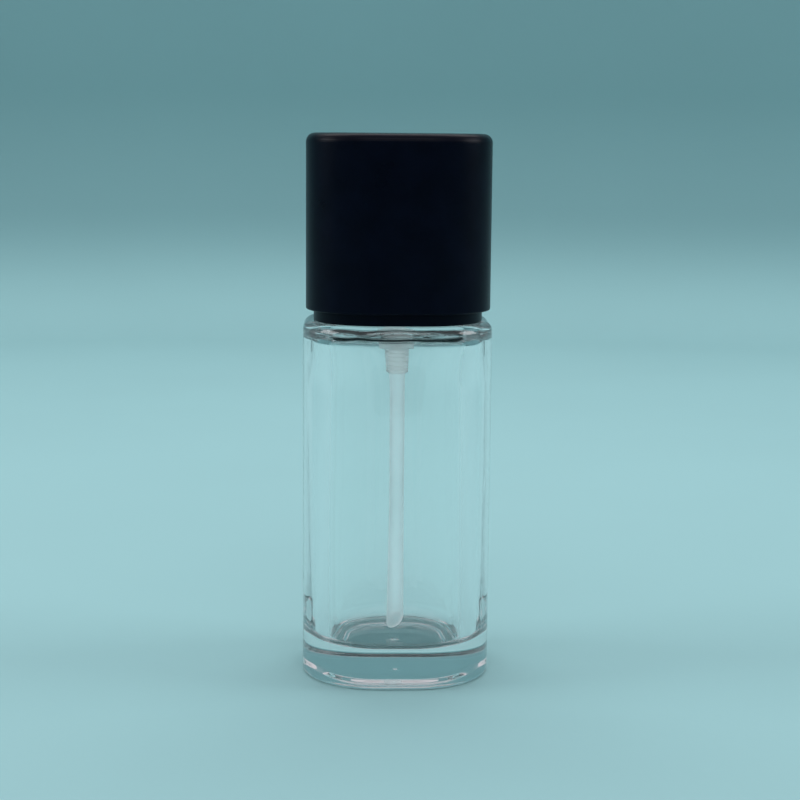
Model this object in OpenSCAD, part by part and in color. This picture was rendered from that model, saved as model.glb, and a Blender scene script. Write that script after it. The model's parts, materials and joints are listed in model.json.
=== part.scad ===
// Foundation bottle with a treatment pump: a soft-square glass bottle, a screw-on pump with a
// soft-square collar, and a pull-off cap. Millimetres, +Z up, origin at the centre of the base.

/* [Glass bottle] */
// Width of the glass across its flats
glass_w = 35; // [34.5:0.1:36]
// Corner radius of the glass, seen from above
glass_corner = 14; // [13:0.1:14.5]
// Height of the shoulder above the table
shoulder_z = 66.6; // [64:0.2:70]
// Thickness of the side walls
glass_wall = 4.8; // [4.2:0.1:5]
// Height of the cavity floor above the table
floor_z = 6.6; // [5.6:0.1:6.8]
// Thickness of the glass over the cavity
roof_t = 2.3; // [2:0.1:3]
// Depth of the push-up under the base
pushup_h = 0.65; // [0.6:0.05:0.9]
// Width of the foot ring around the push-up
foot_w = 8; // [6.5:0.1:8.5]
// Rounding of the shoulder edge
shoulder_round = 2.6; // [2:0.1:3]
// Rounding of the heel
heel_round = 1; // [0.8:0.1:1.4]
// Rounding between the cavity's floor and its walls
floor_round = 1.8; // [1.2:0.1:2.5]
// Rounding between the cavity's roof and its walls
roof_round = 2.2; // [1:0.1:2.5]

/* [Neck finish] */
// Outside diameter of the neck below its thread
neck_d = 15.9; // [15.5:0.1:16]
// Diameter of the neck's bore
neck_bore = 9.6; // [9.5:0.1:10.4]
// Height of the neck above the shoulder
neck_h = 12.6; // [12.4:0.1:13]
// Outside diameter over the neck's thread
thread_d = 17.9; // [17.6:0.1:18]
// Rise of the thread in one turn
thread_pitch = 3.175; // [3:0.025:3.3]
// Turns that the closure needs to come off
thread_turns = 1.5; // [1.25:0.25:1.5]

/* [Collar] */
// Width of the collar across its flats
collar_w = 31; // [30.9:0.1:31.1]
// Corner radius of the collar, seen from above
collar_corner = 11.3; // [11:0.1:11.8]
// Height of the collar's side wall
collar_h = 14.6; // [14.4:0.1:14.8]
// Thickness of the collar's side wall
collar_wall = 1.2; // [1:0.1:1.4]
// Outside diameter of the turret on the collar
turret_d = 22.8; // [22.6:0.1:23]
// Height of the turret above the collar's deck
turret_h = 7.5; // [7:0.1:7.6]

/* [Cap] */
// Width of the cap across its flats
cap_w = 33.8; // [33.8:0.1:34.4]
// Corner radius of the cap, seen from above
cap_corner = 11.5; // [11:0.1:12]
// Height of the cap
cap_h = 31.8; // [31.8:0.1:33]
// Height of the collar's band that stays in sight below the cap
band_h = 2.2; // [2:0.1:2.6]
// Thickness of the cap's side wall
cap_wall = 1.2; // [1:0.05:1.2]
// Rounding of the cap's top edge
cap_round = 1.6; // [1.2:0.1:2]

/* [Pump] */
// Travel of the actuator when it is pressed
stroke = 4.2; // [3:0.1:4.2]
// Outside diameter of the dip tube
tube_d = 3.4; // [3:0.1:3.4]
// Height of the dip tube's tip above the table
tube_tip_z = 7.8; // [7:0.1:12]
// Outside diameter of the pump housing inside the neck
housing_d = 8.8; // [8.6:0.1:8.9]
// Diameter of the pump's piston bore
pump_bore = 7; // [6.8:0.1:7]
// Diameter of the inlet ball
ball_d = 2.5; // [2.4:0.05:2.6]
// Number of coils in the return spring
spring_coils = 6; // [5:1:6]
// Diameter of the spring's wire
spring_wire = 0.5; // [0.4:0.05:0.5]
// Outside diameter of the actuator's button
button_d = 17.9; // [17.5:0.1:17.9]

/* [Hidden] */
$fn = 64;

// Clearances: pieces that are pressed together, that slide or turn, and that stay well apart
press_gap = 0.02;
run_gap = 0.05;
slide_gap = 0.1;
free_gap = 0.2;

// Glass
glass_r = glass_w / 2;
cavity_w = glass_w - 2 * glass_wall;
roof_z = shoulder_z - roof_t;
neck_top = shoulder_z + neck_h;
neck_lip = 0.5;
pushup_round = 0.35;
foot_round = 0.2;

// Threads: both ridges follow one helix, and the closure's lies half a turn's rise below
ridge_base = 1.5;
ridge_crest = 0.8;
ridge_sink = 0.3;
thread_start_z = shoulder_z + 5.4;
closure_in_r = thread_d / 2 + 0.25;
closure_crest_r = neck_d / 2 + 0.25;
ridge_steps = 30;

// Pump stack, from the neck's top upwards
gasket_t = 1;
gasket_z = neck_top + run_gap;
flange_z = gasket_z + gasket_t;
flange_t = 1.1;
flange_r = neck_d / 2 - run_gap;
deck_t = 1.4;
deck_z = flange_z + flange_t + run_gap;
deck_top = deck_z + deck_t;
turret_seat_r = 5.6;
housing_top = deck_top + 1.7;
closure_out_r = closure_in_r + 1.15;
closure_bottom = shoulder_z + 0.8;

// Collar
collar_bottom = shoulder_z + slide_gap;
collar_top = collar_bottom + collar_h;
turret_top = collar_top + turret_h;
turret_r = turret_d / 2;
turret_bore_r = button_d / 2 + 0.25;
closure_seat_r = closure_out_r + run_gap;
deck_plate_t = 1.2;

// Cap
cap_bottom = collar_bottom + band_h;
cap_top = cap_bottom + cap_h;
cap_in_w = cap_w - 2 * cap_wall;
cap_roof_t = 1.6;
liner_w = cap_in_w - 2 * run_gap;
liner_bottom = collar_top + slide_gap;
liner_top = cap_top - cap_roof_t - free_gap;
liner_t = 1;
liner_bore_r = turret_r + slide_gap;

// Pump housing
housing_r = housing_d / 2;
bore_r = pump_bore / 2;
lower_r = 3.2;
lower_top = roof_z + 0.3;
lower_bottom = roof_z - 3.3;
socket_r = 2.28;
socket_bottom = lower_bottom - 4.5;
socket_rings = 6;
socket_edge = 0.15;
ring_depth = 0.12;
spring_seat_z = lower_bottom + 5;
chamber_r = 2;
seat_z = lower_bottom + 0.6;
seat_r = 0.75;
ball_r = ball_d / 2;
ball_z = seat_z - seat_r + ball_r * sqrt(2) + press_gap;
tube_r = tube_d / 2;
tube_in_r = tube_r - 0.55;
tube_top = lower_bottom - 0.5;
tube_cut_rise = 0.78;
tube_cut_turn = 233;

// Moving parts of the pump, with the actuator up
stem_r = 1.9;
stem_in_r = 0.9;
seal_z = flange_z - 0.45;
seal_t = 0.75;
piston_top = seal_z - free_gap;
piston_h = 4.2;
piston_bottom = piston_top - piston_h;
plug_top = piston_bottom - free_gap;
plug_head_t = 1.2;
spring_top = plug_top - plug_head_t;
spring_r = 2.5;

// Actuator
button_r = button_d / 2;
button_wall = 1.2;
core_r = button_r - button_wall - run_gap;
skirt_z = deck_top + stroke + 0.2;
button_top = skirt_z + 10.3;
button_dish = 0.5;
boss_r = 3.1;
boss_z = skirt_z + 3;
stem_top = boss_z + 2.6;
spout_r = 1.5;
spout_z = button_top - 2.8;
spout_reach = button_r + 1.9;
channel_r = 0.65;
insert_r = 1.1;
insert_len = 2.8;
orifice_r = 0.55;

glass_tint = [0.82, 0.93, 0.93, 0.45];
satin_black = [0.05, 0.06, 0.07];
natural_plastic = [0.88, 0.92, 0.92];
steel = [0.75, 0.76, 0.78];

// Points along an arc from angle a0 to angle a1, both ends included
function arc(x, y, r, a0, a1, n = 8) =
    [for (i = [0 : n]) let (a = a0 + (a1 - a0) * i / n) [x + r * cos(a), y + r * sin(a)]];

// Soft-square body: children() is its half-section, with x = 0 at the corner arc's centre and
// x = corner radius at the outside. core lists the [bottom, top] of the solid middle slabs.
module soft_body(w, corner, core = []) {
    c = w / 2 - corner;
    for (a = [0 : 90 : 270]) rotate([0, 0, a]) {
        translate([c, c, 0]) rotate_extrude(angle = 90) children();
        translate([c, c, 0]) rotate([90, 0, 0]) linear_extrude(height = 2 * c) children();
    }
    for (s = core) translate([-c, -c, s[0]]) cube([2 * c, 2 * c, s[1] - s[0]]);
}

// Soft-square plate
module soft_plate(w, corner, z0, z1) {
    soft_body(w, corner, [[z0, z1]]) translate([0, z0]) square([corner, z1 - z0]);
}

// Tube or ring between two heights
module ring(r_in, r_out, z0, z1) {
    rotate_extrude() translate([r_in, z0]) square([r_out - r_in, z1 - z0]);
}

// Upright plates that stand out from the axis, every 360/n degrees; reach gives each one's end
module ribs(r0, reach, z0, z1, t) {
    for (i = [0 : len(reach) - 1]) rotate([0, 0, 360 * i / len(reach)])
        translate([r0, -t / 2, z0]) cube([reach[i] - r0, t, z1 - z0]);
}

// Ridge of a right-hand thread: a trapezoid on a helix that fades in and out at its two ends.
// It stands outwards when crest_r is the larger radius, and inwards when it is the smaller.
module thread_ridge(root_r, crest_r, z0, turns) {
    n = ceil(turns * ridge_steps);
    side = crest_r > root_r ? 1 : -1;
    buried_r = root_r - side * ridge_sink;
    function rise(i) = z0 + thread_pitch * turns * i / n;
    function height(i) = min(1, (i + 0.6) / 4, (n - i + 0.6) / 4);
    function section(i) = let (top_r = root_r + (crest_r - root_r) * height(i)) [
        [buried_r, -side * ridge_base / 2], [top_r, -side * ridge_crest / 2],
        [top_r, side * ridge_crest / 2], [buried_r, side * ridge_base / 2]
    ];
    points = [for (i = [0 : n]) let (a = 360 * turns * i / n) for (p = section(i))
        [p[0] * cos(a), p[0] * sin(a), rise(i) + p[1]]];
    walls = [for (i = [0 : n - 1], j = [0 : 3]) let (a = 4 * i + j, b = 4 * i + (j + 1) % 4)
        for (f = [[a, b, b + 4], [a, b + 4, a + 4]]) f];
    ends = [[0, 3, 2], [0, 2, 1], [4 * n, 4 * n + 1, 4 * n + 2], [4 * n, 4 * n + 2, 4 * n + 3]];
    polyhedron(points, concat(walls, ends));
}

module glass_section() {
    r = glass_corner;
    r_in = r - glass_wall;
    r_foot = r - foot_w;
    polygon(concat(
        [[0, pushup_h]],
        arc(r_foot - pushup_round, pushup_h - pushup_round, pushup_round, 90, 0, 5),
        arc(r_foot + foot_round, foot_round, foot_round, 180, 270, 4),
        arc(r - heel_round, heel_round, heel_round, 270, 360),
        arc(r - shoulder_round, shoulder_z - shoulder_round, shoulder_round, 0, 90),
        [[0, shoulder_z], [0, roof_z]],
        arc(r_in - roof_round, roof_z - roof_round, roof_round, 90, 0),
        arc(r_in - floor_round, floor_z + floor_round, floor_round, 0, -90, 12),
        [[0, floor_z]]
    ));
}

module glass_bottle() {
    neck_r = neck_d / 2;
    color(glass_tint) difference() {
        union() {
            soft_body(glass_w, glass_corner, [[pushup_h, floor_z], [roof_z, shoulder_z]])
                glass_section();
            rotate_extrude() polygon(concat(
                [[0, shoulder_z - 1], [neck_r, shoulder_z - 1]],
                arc(neck_r - neck_lip, neck_top - neck_lip, neck_lip, 0, 90, 4),
                [[0, neck_top]]
            ));
            thread_ridge(neck_r, thread_d / 2, thread_start_z, thread_turns);
        }
        translate([0, 0, roof_z - 1]) cylinder(h = neck_top - roof_z + 2, r = neck_bore / 2);
    }
}

module outer_cap() {
    r = cap_corner;
    r_in = r - cap_wall;
    roof = cap_top - cap_roof_t;
    edge = 0.3;
    color(satin_black) soft_body(cap_w, cap_corner, [[roof, cap_top]]) polygon(concat(
        arc(r_in + edge, cap_bottom + edge, edge, 180, 270, 3),
        arc(r - edge, cap_bottom + edge, edge, 270, 360, 3),
        arc(r - cap_round, cap_top - cap_round, cap_round, 0, 90),
        [[0, cap_top], [0, roof], [r_in, roof]]
    ));
}

module cap_liner() {
    r = cap_corner - cap_wall - run_gap;
    flat_reach = liner_w / 2;
    diagonal_reach = (liner_w / 2 - r) * sqrt(2) + r;
    plate_top = liner_bottom + liner_t;
    color(satin_black) {
        difference() {
            union() {
                soft_plate(liner_w, r, liner_bottom, plate_top);
                ribs(liner_bore_r + liner_t / 2,
                    [for (i = [0 : 7]) (i % 2 == 0 ? flat_reach : diagonal_reach) - 0.1],
                    plate_top - 0.1, liner_top - liner_t + 0.1, 0.8);
            }
            translate([0, 0, liner_bottom - 1]) cylinder(h = liner_t + 2, r = liner_bore_r + 0.5);
        }
        soft_plate(liner_w, r, liner_top - liner_t, liner_top);
        rotate_extrude() polygon([
            [liner_bore_r + 0.4, liner_bottom], [liner_bore_r + liner_t, liner_bottom],
            [liner_bore_r + liner_t, liner_top - 0.5], [liner_bore_r, liner_top - 0.5],
            [liner_bore_r, liner_bottom + 0.6]
        ]);
    }
}

module collar_shroud() {
    r = collar_corner;
    r_in = r - collar_wall;
    deck = collar_top - deck_plate_t;
    flat_reach = collar_w / 2 - collar_wall / 2;
    diagonal_reach = (collar_w / 2 - r) * sqrt(2) + r - collar_wall / 2;
    edge = 0.25;
    color(satin_black) {
        difference() {
            soft_body(collar_w, r, [[deck, collar_top]]) polygon(concat(
                arc(r_in + edge, collar_bottom + edge, edge, 180, 270, 3),
                arc(r - edge, collar_bottom + edge, edge, 270, 360, 3),
                arc(r - edge, collar_top - edge, edge, 0, 90, 3),
                [[0, collar_top], [0, deck], [r_in, deck]]
            ));
            translate([0, 0, deck - 1])
                cylinder(h = deck_plate_t + 2, r = (closure_seat_r + turret_r) / 2);
        }
        rotate_extrude() polygon(concat(
            [[closure_seat_r, closure_bottom], [turret_r, closure_bottom]],
            arc(turret_r - edge, turret_top - edge, edge, 0, 90, 3),
            arc(turret_bore_r + edge, turret_top - edge, edge, 90, 180, 3),
            [[turret_bore_r, deck_top + slide_gap], [closure_seat_r, deck_top + slide_gap]]
        ));
        ribs(turret_r - 0.3, [for (i = [0 : 7]) i % 2 == 0 ? flat_reach : diagonal_reach],
            collar_bottom + 3, deck + 0.1, 0.8);
    }
}

module screw_closure() {
    color(natural_plastic) {
        rotate_extrude() polygon([
            [closure_in_r + 0.4, closure_bottom], [closure_out_r, closure_bottom],
            [closure_out_r, deck_top - 0.3], [closure_out_r - 0.3, deck_top],
            [turret_seat_r + slide_gap, deck_top], [turret_seat_r + slide_gap, deck_z],
            [closure_in_r, deck_z], [closure_in_r, closure_bottom + 0.8]
        ]);
        thread_ridge(closure_in_r, closure_crest_r, thread_start_z - thread_pitch / 2,
            thread_turns);
    }
}

module neck_gasket() {
    color("white") ring(housing_r + slide_gap, flange_r, gasket_z, flange_z);
}

module pump_housing() {
    ring_pitch = (lower_bottom - socket_bottom - socket_edge) / socket_rings;
    bead_r = ball_r - 0.1;
    bead_z = ball_z + ball_r + 1;
    lip = turret_seat_r + 0.35;
    color(natural_plastic) rotate_extrude() polygon(concat(
        [[tube_r + press_gap, socket_bottom], [socket_r - socket_edge, socket_bottom]],
        [for (i = [0 : socket_rings - 1]) let (z = socket_bottom + socket_edge + i * ring_pitch)
            each [[socket_r, z], [socket_r, z + ring_pitch - 0.22],
                [socket_r - ring_depth, z + ring_pitch - 0.16],
                [socket_r - ring_depth, z + ring_pitch - 0.06]]],
        [[socket_r, lower_bottom]],
        arc(lower_r - 0.4, lower_bottom + 0.4, 0.4, 270, 360, 4),
        [[lower_r, lower_top], [housing_r, lower_top + 0.6], [housing_r, flange_z],
            [flange_r, flange_z], [flange_r, flange_z + flange_t],
            [turret_seat_r, flange_z + flange_t], [turret_seat_r, deck_top + slide_gap],
            [lip, deck_top + slide_gap], [lip, deck_top + 0.5], [turret_seat_r, housing_top],
            [bore_r, housing_top], [bore_r, spring_seat_z], [chamber_r, spring_seat_z],
            [chamber_r, bead_z + 0.5], [bead_r, bead_z + 0.2], [bead_r, bead_z],
            [chamber_r, bead_z - 0.3], [chamber_r, seat_z + chamber_r - seat_r],
            [seat_r, seat_z], [seat_r, tube_top + run_gap],
            [tube_r + press_gap, tube_top + run_gap]]
    ));
}

module stem_guide() {
    color(natural_plastic) rotate_extrude() polygon([
        [stem_r + slide_gap, seal_z + seal_t + press_gap],
        [bore_r - press_gap, seal_z + seal_t + press_gap],
        [bore_r - press_gap, housing_top + press_gap], [turret_seat_r - 0.1, housing_top + press_gap],
        [turret_seat_r - 0.1, housing_top + 0.6], [turret_seat_r - 0.4, housing_top + 0.9],
        [stem_r + 0.5, housing_top + 0.9], [stem_r + slide_gap, housing_top + 0.5]
    ]);
}

module stem_seal() {
    color("gainsboro") rotate_extrude() polygon([
        [stem_r + run_gap, seal_z + 0.1], [stem_r + 0.5, seal_z],
        [bore_r - press_gap, seal_z], [bore_r - press_gap, seal_z + seal_t],
        [stem_r + 0.5, seal_z + seal_t], [stem_r + run_gap, seal_z + seal_t - 0.1]
    ]);
}

module pump_stem() {
    port_z = piston_bottom + 0.5;
    color(natural_plastic) difference() {
        rotate_extrude() polygon([
            [stem_in_r, plug_top + press_gap], [stem_r, plug_top + press_gap],
            [stem_r, stem_top - 0.3], [stem_r - 0.3, stem_top], [stem_in_r, stem_top]
        ]);
        for (a = [0, 90]) translate([0, 0, port_z]) rotate([90, 0, a])
            cylinder(h = 2 * stem_r + 1, r = 0.35, center = true);
    }
}

module piston() {
    lip_r = bore_r - run_gap;
    waist_r = bore_r - 0.6;
    groove_r = stem_r + 0.6;
    color("white") rotate_extrude() polygon([
        [stem_r + run_gap, piston_bottom + 0.3], [stem_r + 0.3, piston_bottom],
        [groove_r + 0.2, piston_bottom + 0.4], [lip_r - 0.1, piston_bottom],
        [lip_r, piston_bottom + 0.5], [waist_r, piston_bottom + 1.3],
        [waist_r, piston_top - 1.3], [lip_r, piston_top - 0.5], [lip_r - 0.1, piston_top],
        [groove_r + 0.2, piston_top - 0.9], [groove_r, piston_top - 0.9],
        [stem_r + 0.3, piston_top - 0.1], [stem_r + run_gap, piston_top - 0.4]
    ]);
}

module stem_plug() {
    color("white") rotate_extrude() polygon([
        [0, spring_top - 1.2], [1.3, spring_top - 1.2], [1.6, spring_top - 0.8],
        [1.6, spring_top], [spring_r + spring_wire / 2, spring_top],
        [spring_r + spring_wire / 2, plug_top - 0.5], [stem_r + 0.2, plug_top],
        [stem_in_r - press_gap, plug_top], [stem_in_r - press_gap, piston_bottom + 0.1],
        [stem_in_r - 0.3, piston_bottom + 0.3], [0, piston_bottom + 0.3]
    ]);
}

// Compression spring: a round wire on a helix whose end coils lie flat
module return_spring() {
    steps = 24 * spring_coils;
    sides = 8;
    wire_r = spring_wire / 2;
    z0 = spring_seat_z + wire_r;
    z1 = spring_top - wire_r - run_gap;
    end_rise = spring_wire * 1.04;
    // Height after t coils: one flat coil at each end and an even rise between them
    function height(t) =
        t < 1 ? z0 + end_rise * t
        : t > spring_coils - 1 ? z1 - end_rise * (spring_coils - t)
        : z0 + end_rise + (z1 - z0 - 2 * end_rise) * (t - 1) / (spring_coils - 2);
    points = [for (i = [0 : steps]) let (t = i / 24, a = 360 * t)
        for (j = [0 : sides - 1]) let (b = 360 * j / sides, r = spring_r + wire_r * cos(b))
            [r * cos(a), r * sin(a), height(t) + wire_r * sin(b)]];
    walls = [for (i = [0 : steps - 1], j = [0 : sides - 1])
        let (a = sides * i + j, b = sides * i + (j + 1) % sides)
        for (f = [[a, b, b + sides], [a, b + sides, a + sides]]) f];
    ends = [[for (j = [sides - 1 : -1 : 0]) j], [for (j = [0 : sides - 1]) sides * steps + j]];
    color(steel) polyhedron(points, concat(walls, ends));
}

module inlet_ball() {
    color(steel) translate([0, 0, ball_z]) sphere(r = ball_r);
}

module dip_tube() {
    color(natural_plastic) difference() {
        ring(tube_in_r, tube_r, tube_tip_z - 1, tube_top);
        translate([0, 0, tube_tip_z + tube_cut_rise * tube_r]) rotate([0, 0, tube_cut_turn])
            rotate([0, atan(tube_cut_rise), 0])
                translate([-4 * tube_r, -4 * tube_r, -8 * tube_r]) cube(8 * tube_r);
    }
}

module actuator_core() {
    roof = button_top - button_wall - button_dish - run_gap;
    roof_plate_t = 1;
    color(natural_plastic) difference() {
        union() {
            ring(core_r - 0.9, core_r, skirt_z + 1, roof);
            translate([0, 0, roof - roof_plate_t]) cylinder(h = roof_plate_t, r = core_r);
            translate([0, 0, boss_z]) cylinder(h = roof - boss_z, r = boss_r);
            ribs(boss_r - 0.3, [for (i = [0 : 5]) core_r - 0.3], boss_z + 2, roof - 0.3, 0.8);
            translate([0, 0, spout_z]) rotate([90, 0, 0]) cylinder(h = spout_reach, r = spout_r);
        }
        translate([0, 0, boss_z - 1]) cylinder(h = stem_top - boss_z + 1, r = stem_r + press_gap);
        translate([0, 0, stem_top - 0.1]) cylinder(h = spout_z - stem_top + 0.1, r = channel_r);
        translate([0, 0, spout_z]) rotate([90, 0, 0])
            cylinder(h = spout_reach + 1, r = channel_r);
        translate([0, 0, spout_z]) sphere(r = channel_r);
        translate([0, -(spout_reach - insert_len), spout_z]) rotate([90, 0, 0])
            cylinder(h = insert_len + 1, r = insert_r + press_gap);
    }
}

module button_shell() {
    r_in = core_r + run_gap;
    edge = 0.8;
    dish_r = button_r - 1.5;
    dish_curve = (dish_r * dish_r + button_dish * button_dish) / (2 * button_dish);
    dish_span = asin(dish_r / dish_curve);
    color(satin_black) difference() {
        rotate_extrude() polygon(concat(
            [[r_in, skirt_z], [button_r, skirt_z]],
            arc(button_r - edge, button_top - edge, edge, 0, 90, 6),
            arc(0, button_top - button_dish + dish_curve, dish_curve, 270 + dish_span, 270, 6),
            [[0, button_top - button_wall - button_dish],
                [r_in, button_top - button_wall - button_dish]]
        ));
        translate([0, 0, spout_z]) rotate([90, 0, 0])
            cylinder(h = button_r + 1, r = spout_r + run_gap);
    }
}

module nozzle_insert() {
    color(natural_plastic) translate([0, 0, spout_z]) rotate([90, 0, 0]) difference() {
        translate([0, 0, spout_reach - insert_len + run_gap])
            cylinder(h = insert_len - 0.1, r = insert_r);
        cylinder(h = spout_reach + 1, r = orifice_r);
    }
}

glass_bottle();
outer_cap();
cap_liner();
collar_shroud();
screw_closure();
neck_gasket();
pump_housing();
stem_guide();
stem_seal();
pump_stem();
piston();
stem_plug();
return_spring();
inlet_ball();
dip_tube();
actuator_core();
button_shell();
nozzle_insert();
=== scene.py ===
import json
import math

import bpy
from mathutils import Matrix, Vector, noise


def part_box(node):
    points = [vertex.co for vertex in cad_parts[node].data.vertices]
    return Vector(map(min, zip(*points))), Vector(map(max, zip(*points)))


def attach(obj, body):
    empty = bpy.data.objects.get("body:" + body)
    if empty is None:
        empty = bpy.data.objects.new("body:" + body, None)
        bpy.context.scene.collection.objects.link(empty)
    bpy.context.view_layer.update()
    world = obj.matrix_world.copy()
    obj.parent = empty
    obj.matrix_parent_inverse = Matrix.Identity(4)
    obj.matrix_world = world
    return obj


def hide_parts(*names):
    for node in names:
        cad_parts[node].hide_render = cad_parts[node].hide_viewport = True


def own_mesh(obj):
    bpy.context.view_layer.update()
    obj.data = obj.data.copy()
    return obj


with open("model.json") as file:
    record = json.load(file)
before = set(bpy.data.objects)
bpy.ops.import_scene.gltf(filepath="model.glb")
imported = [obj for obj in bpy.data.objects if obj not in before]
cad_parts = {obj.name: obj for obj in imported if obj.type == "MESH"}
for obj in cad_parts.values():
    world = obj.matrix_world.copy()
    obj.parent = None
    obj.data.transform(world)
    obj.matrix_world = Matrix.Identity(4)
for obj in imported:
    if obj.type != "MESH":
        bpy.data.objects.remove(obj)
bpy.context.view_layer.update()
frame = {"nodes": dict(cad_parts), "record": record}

# Lengths in this script are millimetres; MM turns them into Blender's metres.
MM = 0.001

# Camera: where it stands from the bottle's axis, and how it is turned
CAMERA_DISTANCE = 326.2
CAMERA_HEIGHT = 102.0
CAMERA_SIDE = 0.7
CAMERA_TURN = 2.21
CAMERA_PITCH = 8.87
CAMERA_ROLL = 0.49
CAMERA_LENS = 79.0

# Backdrop: a round sweep of paper, wider on the camera's side, and its tones. The wall's darker tone is
# painted shade, added to the fall of the lamps' light up the wall.
SWEEP_RADIUS = 1050.0
SWEEP_BEND = 120.0
SWEEP_HEIGHT = 560.0
SWEEP_FORWARD = 420.0
SWEEP_STEPS = 160
FLOOR_TONE = (0.347, 0.602, 0.618)
# Painted shade: the wall is given a darker colour than the floor.
WALL_PAINTED_SHADE = (0.213, 0.4, 0.42)

# Softboxes: name, place, the point that it faces, size, power in watts, spread in degrees
SOFTBOXES = (
    ("softbox_top", (0, 470, 740), (0, 260, 0), (900, 420), 1.6, 140),
    ("softbox_left", (-760, -40, 420), (0, 0, 40), (420, 420), 0.9, 120),
    ("softbox_right", (760, -40, 420), (0, 0, 40), (420, 420), 0.9, 120),
    ("softbox_front", (0, -640, 800), (0, 0, 30), (500, 360), 0.35, 120),
)
ROOM_TONE = (0.6, 0.575, 0.61)

# Roundness of the meshes: segments in each quarter turn, and along each flat
ARC_STEPS = 30
FLAT_STEPS = 6


def millimetres(node):
    """Lowest and highest corner of a CAD node, in millimetres."""
    low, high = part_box(node)
    return low / MM, high / MM


glass_low, glass_high = millimetres("glass_bottle")


# ---------------------------------------------------------------- meshes

def arc(x, z, radius, start, end, steps=12):
    """Points on an arc of a section, from one angle to another in degrees, both ends included."""
    turns = [math.radians(start + (end - start) * i / steps) for i in range(steps + 1)]
    return [(x + radius * math.cos(a), z + radius * math.sin(a)) for a in turns]


def soft_ring(centre, reach):
    """Outline of a soft square: corner arcs of radius reach round centres (+-centre, +-centre)."""
    points = []
    for quarter in range(4):
        turn = Matrix.Rotation(math.radians(90 * quarter), 2)
        for i in range(ARC_STEPS + 1):
            a = math.radians(90) * i / ARC_STEPS
            points.append(turn @ Vector((centre + reach * math.cos(a), centre + reach * math.sin(a))))
        for i in range(1, FLAT_STEPS):
            points.append(turn @ Vector((centre - 2 * centre * i / FLAT_STEPS, centre + reach)))
    return points


class SoftSquare:
    """Rings of one soft-square plan, which all have their points at matching places."""

    def __init__(self, width, corner):
        self.corner = corner
        self.centre = width / 2 - corner
        self.outline = soft_ring(self.centre, corner)

    def soft(self, reach, z):
        return [Vector((p.x, p.y, z)) for p in soft_ring(self.centre, reach)]

    def scaled(self, reach, share, z):
        return [Vector((p.x * share, p.y * share, z)) for p in soft_ring(self.centre, reach)]

    def round(self, radius, z):
        return [Vector((p.x, p.y, 0)).normalized() * radius + Vector((0, 0, z)) for p in self.outline]

    def blend(self, reach, radius, share, z):
        """A ring part of the way from the soft square at reach to the circle of that radius."""
        return [a.lerp(b, share) for a, b in zip(self.soft(reach, z), self.round(radius, z))]


def new_object(name, data):
    """An object of a mesh, camera or light, in the scene."""
    obj = bpy.data.objects.new(name, data)
    bpy.context.collection.objects.link(obj)
    return obj


def strips(rings):
    """Faces between each ring and the next; every ring has the same number of points."""
    count = len(rings[0])
    faces = []
    for k in range(len(rings) - 1):
        for i in range(count):
            j = (i + 1) % count
            faces.append((k * count + i, k * count + j, (k + 1) * count + j, (k + 1) * count + i))
    return faces


def shell(name, rings):
    """A closed mesh through rings of equal length, whose two ends are drawn together to a point."""
    count = len(rings[0])
    verts = [p * MM for ring in rings for p in ring]
    faces = strips(rings)
    for ring, flip in ((0, True), (len(rings) - 1, False)):
        middle = sum(rings[ring], Vector()) / count
        verts.append(middle * MM)
        for i in range(count):
            edge = (ring * count + i, ring * count + (i + 1) % count)
            faces.append((*(reversed(edge) if flip else edge), len(verts) - 1))
    mesh = bpy.data.meshes.new(name)
    mesh.from_pydata([tuple(v) for v in verts], [], faces)
    mesh.validate()
    mesh.shade_smooth()
    mesh.set_sharp_from_angle(angle=math.radians(35))
    return new_object(name, mesh)


# ---------------------------------------------------------------- materials

def material(name):
    """A new node material: (material, nodes, links, its Principled shader)."""
    mat = bpy.data.materials.new(name)
    mat.use_nodes = True
    nodes = mat.node_tree.nodes
    return mat, nodes, mat.node_tree.links, nodes["Principled BSDF"]


def noise_node(nodes, links, scale, detail=2.0, rough=0.5, stretch=(1, 1, 1)):
    """Noise in the part's own coordinates; scale counts features in a metre."""
    coords = nodes.new("ShaderNodeTexCoord")
    mapping = nodes.new("ShaderNodeMapping")
    mapping.inputs["Scale"].default_value = stretch
    texture = nodes.new("ShaderNodeTexNoise")
    texture.inputs["Scale"].default_value = scale
    texture.inputs["Detail"].default_value = detail
    texture.inputs["Roughness"].default_value = rough
    links.new(coords.outputs["Object"], mapping.inputs["Vector"])
    links.new(mapping.outputs["Vector"], texture.inputs["Vector"])
    return texture


def spread(nodes, links, texture, socket, low, high, start=0.3, end=0.7, output=0):
    """Maps an output of a texture to the range low..high and feeds it to a socket."""
    ramp = nodes.new("ShaderNodeMapRange")
    ramp.inputs["From Min"].default_value = start
    ramp.inputs["From Max"].default_value = end
    ramp.inputs["To Min"].default_value = low
    ramp.inputs["To Max"].default_value = high
    links.new(texture.outputs[output], ramp.inputs["Value"])
    links.new(ramp.outputs["Result"], socket)


def by_height(nodes, links, socket, low, high, start, end):
    """Feeds a socket with low below the height start and with high above end, both in metres."""
    coords = nodes.new("ShaderNodeTexCoord")
    split = nodes.new("ShaderNodeSeparateXYZ")
    links.new(coords.outputs["Object"], split.inputs["Vector"])
    spread(nodes, links, split, socket, low, high, start, end, "Z")


def tint(nodes, links, texture, socket, dark, light, start=0.35, end=0.65):
    """Feeds a socket with a colour between dark and light, by the texture's value."""
    ramp = nodes.new("ShaderNodeValToRGB")
    ramp.color_ramp.elements[0].position = start
    ramp.color_ramp.elements[0].color = (*dark, 1)
    ramp.color_ramp.elements[1].position = end
    ramp.color_ramp.elements[1].color = (*light, 1)
    links.new(texture.outputs[0], ramp.inputs["Fac"])
    links.new(ramp.outputs["Color"], socket)


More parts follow.
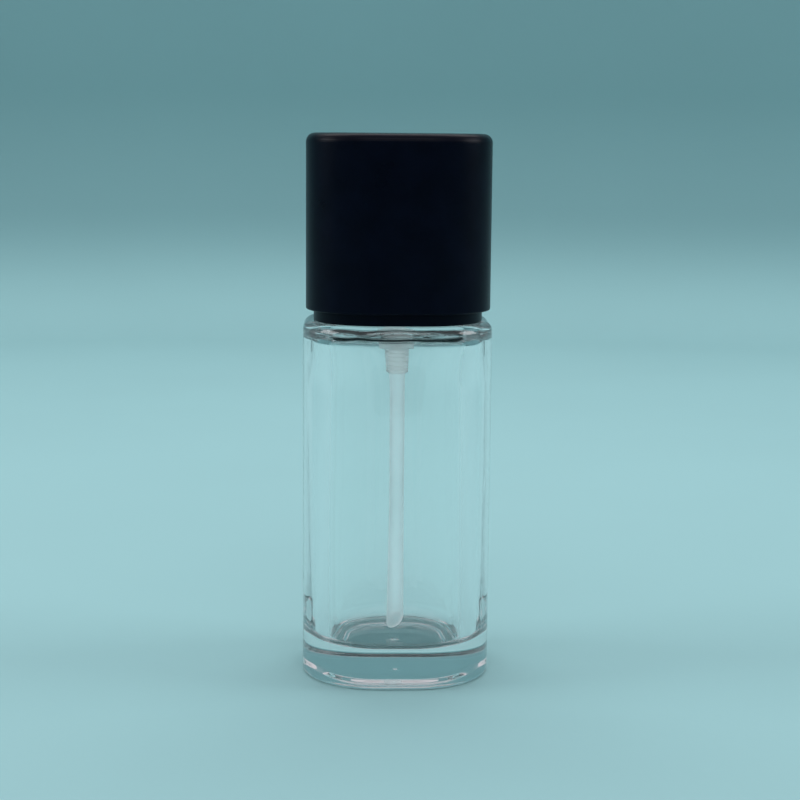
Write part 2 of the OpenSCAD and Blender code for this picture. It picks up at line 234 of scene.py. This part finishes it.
def bump(nodes, links, texture, shader, depth):
    """Relief from a texture; depth is in millimetres."""
    node = nodes.new("ShaderNodeBump")
    node.inputs["Strength"].default_value = 1.0
    node.inputs["Distance"].default_value = depth * MM
    links.new(texture.outputs[0], node.inputs["Height"])
    links.new(node.outputs["Normal"], shader.inputs["Normal"])


def satin_plastic(name, dark, light, roughness, grain, sheen):
    """Moulded plastic with a fine satin grain and a slight unevenness of its sheen."""
    mat, nodes, links, shader = material(name)
    tint(nodes, links, noise_node(nodes, links, 180, 3), shader.inputs["Base Color"], dark, light)
    spread(nodes, links, noise_node(nodes, links, 90, 4), shader.inputs["Roughness"],
           roughness - 0.04, roughness + 0.04)
    bump(nodes, links, noise_node(nodes, links, 9000, 2), shader, grain)
    shader.inputs["Specular IOR Level"].default_value = sheen
    return mat


def clear_glass():
    """Polished glass with the faint waves of a blown bottle, and a finely stippled foot."""
    mat, nodes, links, shader = material("clear_glass")
    tint(nodes, links, noise_node(nodes, links, 40, 1), shader.inputs["Base Color"],
         (0.985, 0.997, 0.995), (0.995, 1.0, 1.0))
    bump(nodes, links, noise_node(nodes, links, 110, 1, stretch=(1, 1, 0.35)), shader, 0.03)
    frost = nodes.new("ShaderNodeMath")
    frost.operation = "MULTIPLY"
    by_height(nodes, links, frost.inputs[0], 1.0, 0.0, 0.0001, 0.0004)
    spread(nodes, links, noise_node(nodes, links, 2500, 2), frost.inputs[1], 0.02, 0.2)
    links.new(frost.outputs["Value"], shader.inputs["Roughness"])
    shader.inputs["Transmission Weight"].default_value = 1.0
    shader.inputs["IOR"].default_value = 1.52
    return mat


def natural_plastic(name, dark, light, roughness, clearness, glow):
    """Unpigmented plastic, frosted and milky. glow is a tone match: without it the piece renders too dark
    inside the glass. It isn't a property of the plastic, and the cause isn't known."""
    mat, nodes, links, shader = material(name)
    cloud = noise_node(nodes, links, 220, 3, stretch=(1, 1, 0.2))
    tint(nodes, links, cloud, shader.inputs["Base Color"], dark, light)
    spread(nodes, links, noise_node(nodes, links, 500, 3), shader.inputs["Roughness"],
           roughness - 0.05, roughness + 0.05)
    spread(nodes, links, cloud, shader.inputs["Emission Strength"], glow * 0.85, glow * 1.15)
    shader.inputs["Emission Color"].default_value = (0.76, 0.95, 1.0, 1)
    shader.inputs["Transmission Weight"].default_value = clearness
    shader.inputs["IOR"].default_value = 1.5
    return mat


def metal(name, dark, light, roughness, scale, stretch):
    """Bare steel with drawn or polished marks."""
    mat, nodes, links, shader = material(name)
    marks = noise_node(nodes, links, scale, 4, 0.6, stretch)
    tint(nodes, links, marks, shader.inputs["Base Color"], dark, light)
    spread(nodes, links, marks, shader.inputs["Roughness"], roughness - 0.06, roughness + 0.06)
    shader.inputs["Metallic"].default_value = 1.0
    return mat


def foam(name):
    """Closed-cell foam of the neck gasket."""
    mat, nodes, links, shader = material(name)
    cells = noise_node(nodes, links, 4000, 4, 0.7)
    tint(nodes, links, cells, shader.inputs["Base Color"], (0.62, 0.62, 0.6), (0.8, 0.8, 0.78))
    bump(nodes, links, cells, shader, 0.06)
    shader.inputs["Roughness"].default_value = 0.85
    return mat


def paper(name, floor_tone, wall_painted_shade):
    """Matt seamless backdrop. Its colour darkens as the sweep climbs from the floor to the wall: painted
    shade.
    """
    mat, nodes, links, shader = material(name)
    tone = nodes.new("ShaderNodeValToRGB")
    tone.color_ramp.interpolation = "EASE"
    # Painted shade: the colour falls from the floor's tone to the darker wall tone as the height rises.
    by_height(nodes, links, tone.inputs["Fac"], 0.0, 1.0, 0.005, 0.06)
    tone.color_ramp.elements[0].color = (*floor_tone, 1)
    tone.color_ramp.elements[1].color = (*wall_painted_shade, 1)
    mix = nodes.new("ShaderNodeMix")
    mix.data_type = "RGBA"
    mix.blend_type = "MULTIPLY"
    mix.inputs["Factor"].default_value = 1.0
    tint(nodes, links, noise_node(nodes, links, 6, 3), mix.inputs["B"],
         (0.97, 0.97, 0.97), (1.0, 1.0, 1.0))
    links.new(tone.outputs["Color"], mix.inputs["A"])
    links.new(mix.outputs["Result"], shader.inputs["Base Color"])
    bump(nodes, links, noise_node(nodes, links, 900, 3), shader, 0.03)
    shader.inputs["Roughness"].default_value = 0.9
    shader.inputs["Specular IOR Level"].default_value = 0.2
    return mat


# The cap's plastic is black; the blue-green tilt of these tones is painted reflection of the teal paper.
satin_black = satin_plastic("satin_black", dark=(0.0004, 0.0014, 0.0062), light=(0.0008, 0.0022, 0.009),
                            roughness=0.3, grain=0.012, sheen=0.08)
liner_black = satin_plastic("liner_black", dark=(0.012, 0.012, 0.014), light=(0.018, 0.018, 0.02),
                            roughness=0.5, grain=0.02, sheen=0.4)
glass_look = clear_glass()
pump_plastic = natural_plastic("natural_plastic", dark=(0.86, 0.87, 0.86), light=(0.93, 0.94, 0.93),
                               roughness=0.35, clearness=0.35, glow=0.0)
housing_plastic = natural_plastic("housing_plastic", dark=(0.97, 0.97, 0.96), light=(1.0, 0.99, 0.98),
                                  roughness=0.35, clearness=0.9, glow=0.045)
tube_plastic = natural_plastic("tube_plastic", dark=(0.98, 0.99, 0.99), light=(1.0, 1.0, 1.0),
                               roughness=0.38, clearness=1.0, glow=0.055)
seal_plastic = natural_plastic("seal_plastic", dark=(0.82, 0.83, 0.82), light=(0.9, 0.91, 0.9),
                               roughness=0.35, clearness=0.05, glow=0.0)
foam_look = foam("gasket_foam")
spring_steel = metal("spring_steel", dark=(0.5, 0.5, 0.5), light=(0.66, 0.66, 0.67),
                     roughness=0.22, scale=3000, stretch=(1, 1, 1))
ball_steel = metal("ball_steel", dark=(0.66, 0.66, 0.67), light=(0.74, 0.74, 0.75),
                   roughness=0.1, scale=800, stretch=(1, 1, 1))


def dress(obj, look):
    """Gives an object one material."""
    obj.data.materials.clear()
    obj.data.materials.append(look)


def place(obj, body, look, slot_name, *nodes):
    """Gives a new piece its look and its body, and hides the CAD nodes it stands for. slot_name is not used.
    """
    dress(obj, look)
    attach(obj, body)
    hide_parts(*nodes)


# ---------------------------------------------------------------- the glass bottle

# Outside
GLASS_CORNER = 14.0
HEEL_ROUND = 1.0
SHOULDER_Z = 66.6
SHOULDER_ROUND = 1.8
SHOULDER_WAVE = 0.1

# Unevenness: how quickly it changes, per millimetre, across and along the wall and round the shoulder
WAVES_ACROSS = 0.16
WAVES_ALONG = 0.045
WAVES_SHOULDER = 0.32

# Cavity: its wall, and how far its plan is drawn from the soft square towards a circle
GLASS_WALL = 4.8
WALL_WAVE = 0.05
CAVITY_R = 12.6
CAVITY_SHARE = 0.6
FLOOR_SHARE = 0.25
FADE_START = 0.4
FLOOR_Z = 6.6
FLOOR_ROUND = 1.8
ROOF_Z = 64.3
ROOF_ROUND = 1.9
ROOF_WAVE = 0.2

# Underside. The foot is lifted a little, because glass that lies exactly on the paper renders black.
# The centre mark is a dip: shares of the push-up's width, and how far below its roof.
PUSHUP_H = 0.65
FOOT_W = 8.0
FOOT_LIFT = 0.05
RIM_W = 1.5
CENTRE_MARK = ((0.02, 0.16), (0.045, 0.08), (0.07, 0.0))

# Neck and its thread. The thread's rings run from NECK_FROM above the shoulder to NECK_TO below the
# lip, and the bore's wall from BORE_START below the lip to BORE_END above the cavity's roof.
NECK_R = 7.95
NECK_FILLET = 0.6
NECK_FROM = 0.8
NECK_TO = 0.6
NECK_STEP = 0.18
LIP_ROUND = 0.5
BORE_R = 4.8
BORE_EDGE = 0.4
BORE_FILLET = 0.5
BORE_START = 6.0
BORE_END = 4.0
THREAD_START = 5.4
THREAD_H = 1.0
THREAD_HALF_W = 0.75
THREAD_FLANK = 0.35
THREAD_PITCH = 3.175
THREAD_TURNS = 1.5
THREAD_FADE = 6


def thread_height(angle, z):
    """How far the neck's thread stands out at an angle (radians) and a height."""
    start = SHOULDER_Z + THREAD_START
    best = 0.0
    for turn in range(3):
        turns = angle / (2 * math.pi) + turn
        if 0 <= turns <= THREAD_TURNS:
            off = abs(z - start - THREAD_PITCH * turns)
            fade = min(1.0, turns * THREAD_FADE, (THREAD_TURNS - turns) * THREAD_FADE)
            flank = min(1.0, max(0.0, (THREAD_HALF_W - off) / THREAD_FLANK))
            best = max(best, fade * THREAD_H * flank)
    return best


def wavy(ring, amount):
    """Slow unevenness of the glass: each point moves in or out by up to amount."""
    moved = []
    for p in ring:
        swing = noise.noise(Vector((p.x * WAVES_ACROSS, p.y * WAVES_ACROSS, p.z * WAVES_ALONG)))
        out = Vector((p.x, p.y, 0)).normalized()
        moved.append(p + out * swing * amount)
    return moved


def cavity_roundness(t):
    """How far the cavity's plan is drawn towards a circle, from its roof (t = 0) to its floor (t = 1)."""
    fade = 0.5 + 0.5 * math.cos(math.pi * max(0.0, (t - FADE_START) / (1 - FADE_START)))
    return min(1.0, t * 8) * (FLOOR_SHARE + (CAVITY_SHARE - FLOOR_SHARE) * fade)


def uneven(ring, amount):
    """Moulding unevenness of the shoulder: each point moves up or down by up to amount."""
    moved = []
    for p in ring:
        swing = noise.noise(Vector((p.x * WAVES_SHOULDER, p.y * WAVES_SHOULDER, 4.0)))
        moved.append(p + Vector((0, 0, amount * swing)))
    return moved


def underside(plan):
    """A flat push-up with a small centre mark and a soft edge, then the foot ring and the heel."""
    r = plan.corner
    r_foot = r - FOOT_W
    foot_start, foot_end = r_foot + RIM_W, r - HEEL_ROUND
    rings = [plan.scaled(r_foot, share, PUSHUP_H - depth) for share, depth in CENTRE_MARK]
    rings += [plan.scaled(r_foot, share, PUSHUP_H) for share in (0.12, 0.3, 0.6, 0.9)]
    for t in [i / 10 for i in range(11)]:
        fall = 0.5 + 0.5 * math.cos(math.pi * t)
        rings.append(plan.soft(r_foot + RIM_W * t, FOOT_LIFT + (PUSHUP_H - FOOT_LIFT) * fall))
    rings += [plan.soft(foot_start + (foot_end - foot_start) * t, FOOT_LIFT) for t in (0.25, 0.5, 0.75)]
    return rings + [plan.soft(x, z) for x, z in arc(foot_end, HEEL_ROUND, HEEL_ROUND, 270, 360, 14)]


def outer_wall(plan, steps=12):
    """The wall up from the heel, and the shoulder in to the neck."""
    r, bend = plan.corner, SHOULDER_ROUND
    rise = SHOULDER_Z - bend - HEEL_ROUND
    rings = [plan.soft(r, HEEL_ROUND + rise * i / steps) for i in range(1, steps)]
    rings += [uneven(plan.soft(x, z), SHOULDER_WAVE)
              for x, z in arc(r - bend, SHOULDER_Z - bend, bend, 8, 82, 16)]
    return rings + [plan.blend(r - bend, NECK_R + NECK_FILLET, share, SHOULDER_Z) for share in (0.35, 0.7)]


def threaded_ring(plan, z):
    """The neck's outline at one height, with the thread where it stands out."""
    ring = []
    for p in plan.round(NECK_R, z):
        out = thread_height(math.atan2(p.y, p.x) % (2 * math.pi), z)
        ring.append(p + Vector((p.x, p.y, 0)).normalized() * out)
    return ring


def neck(plan, top):
    """The neck's fillet, its thread, the lip and the start of the bore."""
    fillet = arc(NECK_R + NECK_FILLET, SHOULDER_Z + NECK_FILLET, NECK_FILLET, 180, 270, 6)
    rings = [plan.round(x, z) for x, z in reversed(fillet)]
    z = SHOULDER_Z + NECK_FROM
    while z < top - NECK_TO:
        rings.append(threaded_ring(plan, z))
        z += NECK_STEP
    rings += [plan.round(x, z) for x, z in arc(NECK_R - LIP_ROUND, top - LIP_ROUND, LIP_ROUND, 0, 90, 6)]
    rings += [plan.round(x, z) for x, z in arc(BORE_R + BORE_EDGE, top - BORE_EDGE, BORE_EDGE, 90, 180, 6)]
    return rings + [plan.round(BORE_R, z) for z in (top - BORE_START, ROOF_Z + BORE_END)]


def cavity(plan, steps=36):
    """The bore's end, the cavity's roof, its wavy wall and its floor."""
    r_in = plan.corner - GLASS_WALL
    fillet = arc(BORE_R + BORE_FILLET, ROOF_Z + BORE_FILLET, BORE_FILLET, 180, 270, 6)
    rings = [plan.round(x, z) for x, z in fillet]
    bend = ROOF_ROUND
    rings += [plan.blend(r_in - bend, BORE_R + BORE_FILLET, share, ROOF_Z) for share in (0.7, 0.35)]
    rings += [uneven(plan.soft(x, z), ROOF_WAVE) for x, z in arc(r_in - bend, ROOF_Z - bend, bend, 90, 0, 16)]
    low, high = FLOOR_Z + FLOOR_ROUND, ROOF_Z - bend
    for t in [i / steps for i in range(1, steps)]:
        ring = plan.blend(r_in, CAVITY_R, cavity_roundness(t), high + (low - high) * t)
        rings.append(wavy(ring, WALL_WAVE))
    bend = FLOOR_ROUND
    rings += [plan.blend(x, CAVITY_R + x - r_in, FLOOR_SHARE, z)
              for x, z in arc(r_in - bend, FLOOR_Z + bend, bend, 0, -90, 24)]
    return rings + [plan.scaled(r_in - bend, share, FLOOR_Z) for share in (0.8, 0.6, 0.3, 0.1)]


def glass_rings():
    """The bottle's whole surface: from the middle of the underside, over the lip, to the floor inside."""
    plan = SoftSquare(glass_high.x - glass_low.x, GLASS_CORNER)
    return underside(plan) + outer_wall(plan) + neck(plan, glass_high.z) + cavity(plan)


glass = shell("glass", glass_rings())
place(glass, "bottle", glass_look, "clear_glass", "glass_bottle")


# ---------------------------------------------------------------- looks of the CAD pieces

looks = {
    "clear_glass": glass_look, "satin_black": satin_black, "liner_black": liner_black,
    "natural_plastic": pump_plastic, "tube_plastic": tube_plastic, "seal_plastic": seal_plastic,
    "gasket_foam": foam_look, "spring_steel": spring_steel, "ball_steel": ball_steel,
}
for part in frame["record"]["subparts"]:
    dress(frame["nodes"][part["node"]], looks[part["material_slot"]])
dress(frame["nodes"]["pump_housing"], housing_plastic)


def add_spring():
    """A copy of the return spring, with a mesh of its own. The real spring shortens towards its seat as the
    button is pressed.
    """
    node = frame["nodes"]["return_spring"]
    spring = new_object("spring", node.data.copy())
    spring.matrix_world = node.matrix_world
    place(spring, "pump", spring_steel, "spring_steel", "return_spring")
    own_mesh(spring)


add_spring()


# ---------------------------------------------------------------- studio

def add_camera():
    """The camera, turned round the bottle's axis, then pitched down and rolled where it stands."""
    data = bpy.data.cameras.new("camera")
    data.lens = CAMERA_LENS
    data.clip_start = 0.01
    camera = new_object("camera", data)
    turn = Matrix.Rotation(math.radians(-CAMERA_TURN), 4, "Z")
    stand = Matrix.Translation(Vector((CAMERA_SIDE, -CAMERA_DISTANCE, CAMERA_HEIGHT)) * MM)
    pitch = Matrix.Rotation(math.radians(90 - CAMERA_PITCH), 4, "X")
    roll = Matrix.Rotation(math.radians(CAMERA_ROLL), 4, "Z")
    camera.matrix_world = turn @ stand @ pitch @ roll
    bpy.context.scene.camera = camera


def add_softbox(name, place_mm, aim_mm, size_mm, power, spread_angle):
    """A softbox at one point, facing another. Rays that pass through glass don't meet it, because its
    shape would show in the base as a white block."""
    data = bpy.data.lights.new(name, "AREA")
    data.shape = "RECTANGLE"
    data.size = size_mm[0] * MM
    data.size_y = size_mm[1] * MM
    data.energy = power
    data.color = (1.0, 0.985, 1.0)
    data.spread = math.radians(spread_angle)
    light = new_object(name, data)
    light.location = Vector(place_mm) * MM
    light.rotation_euler = (Vector(aim_mm) - Vector(place_mm)).to_track_quat("-Z", "Y").to_euler()
    light.visible_camera = False
    light.visible_transmission = False


def add_backdrop():
    """A round sweep of paper: floor, curve and wall, wider on the camera's side."""
    flat = SWEEP_RADIUS - SWEEP_BEND
    section = [(flat * share, 0.0) for share in (0.1, 0.3, 0.6, 1.0)]
    section += arc(flat, SWEEP_BEND, SWEEP_BEND, 270, 360, 24)[1:]
    section += [(SWEEP_RADIUS, SWEEP_HEIGHT * share) for share in (0.5, 0.75, 1.0)]
    turns = [2 * math.pi * i / SWEEP_STEPS for i in range(SWEEP_STEPS)]
    rings = [[Vector((r * math.cos(a), r * math.sin(a) - SWEEP_FORWARD, z)) for a in turns]
             for r, z in section]
    mesh = bpy.data.meshes.new("backdrop")
    mesh.from_pydata([tuple(p * MM) for ring in rings for p in ring], [],
                     [tuple(range(SWEEP_STEPS))] + strips(rings))
    mesh.shade_smooth()
    obj = new_object("backdrop", mesh)
    dress(obj, paper("paper", FLOOR_TONE, WALL_PAINTED_SHADE))


def add_room():
    """The light of the room itself, and light paths long enough to pass through thick glass."""
    scene = bpy.context.scene
    scene.world = bpy.data.worlds.new("room")
    scene.world.use_nodes = True
    scene.world.node_tree.nodes["Background"].inputs["Color"].default_value = (*ROOM_TONE, 1)
    scene.view_settings.view_transform = "Standard"
    scene.cycles.max_bounces = 48
    scene.cycles.transmission_bounces = 48
    scene.cycles.glossy_bounces = 24
    scene.cycles.diffuse_bounces = 16


add_camera()
add_backdrop()
for softbox in SOFTBOXES:
    add_softbox(*softbox)
add_room()
